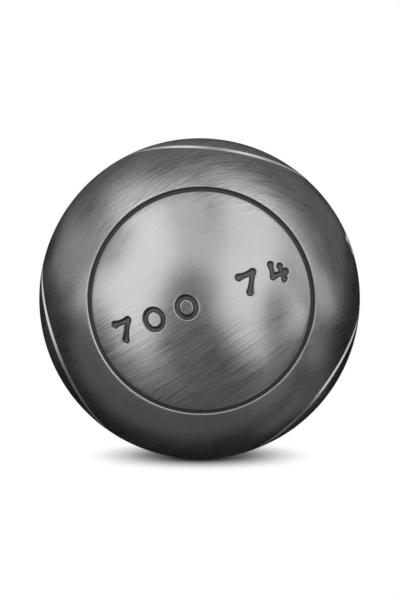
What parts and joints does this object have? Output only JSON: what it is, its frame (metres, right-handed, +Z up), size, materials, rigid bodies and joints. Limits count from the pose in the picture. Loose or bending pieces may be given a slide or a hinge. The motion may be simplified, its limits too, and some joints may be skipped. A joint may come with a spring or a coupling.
{
  "type": "petanque boule",
  "caption": "Hollow steel boule for petanque: two welded half shells with brushed faces, turned ring grooves and stamped numbers.",
  "frame": {"origin": "centre of the ball", "axes": "+Z up as the boule lies on level ground, -Y out through the face inside the front ring, +X to the right seen from the front"},
  "size_m": [0.074, 0.074, 0.074],
  "materials": {
    "shell_steel": "belt-brushed and darkened",
    "weld_steel": "ground flush and brushed with the shells"
  },
  "bodies": {
    "root": {"front_half_shell": "shell_steel", "rear_half_shell": "shell_steel", "weld_seam": "weld_steel"}
  },
  "joints": []
}
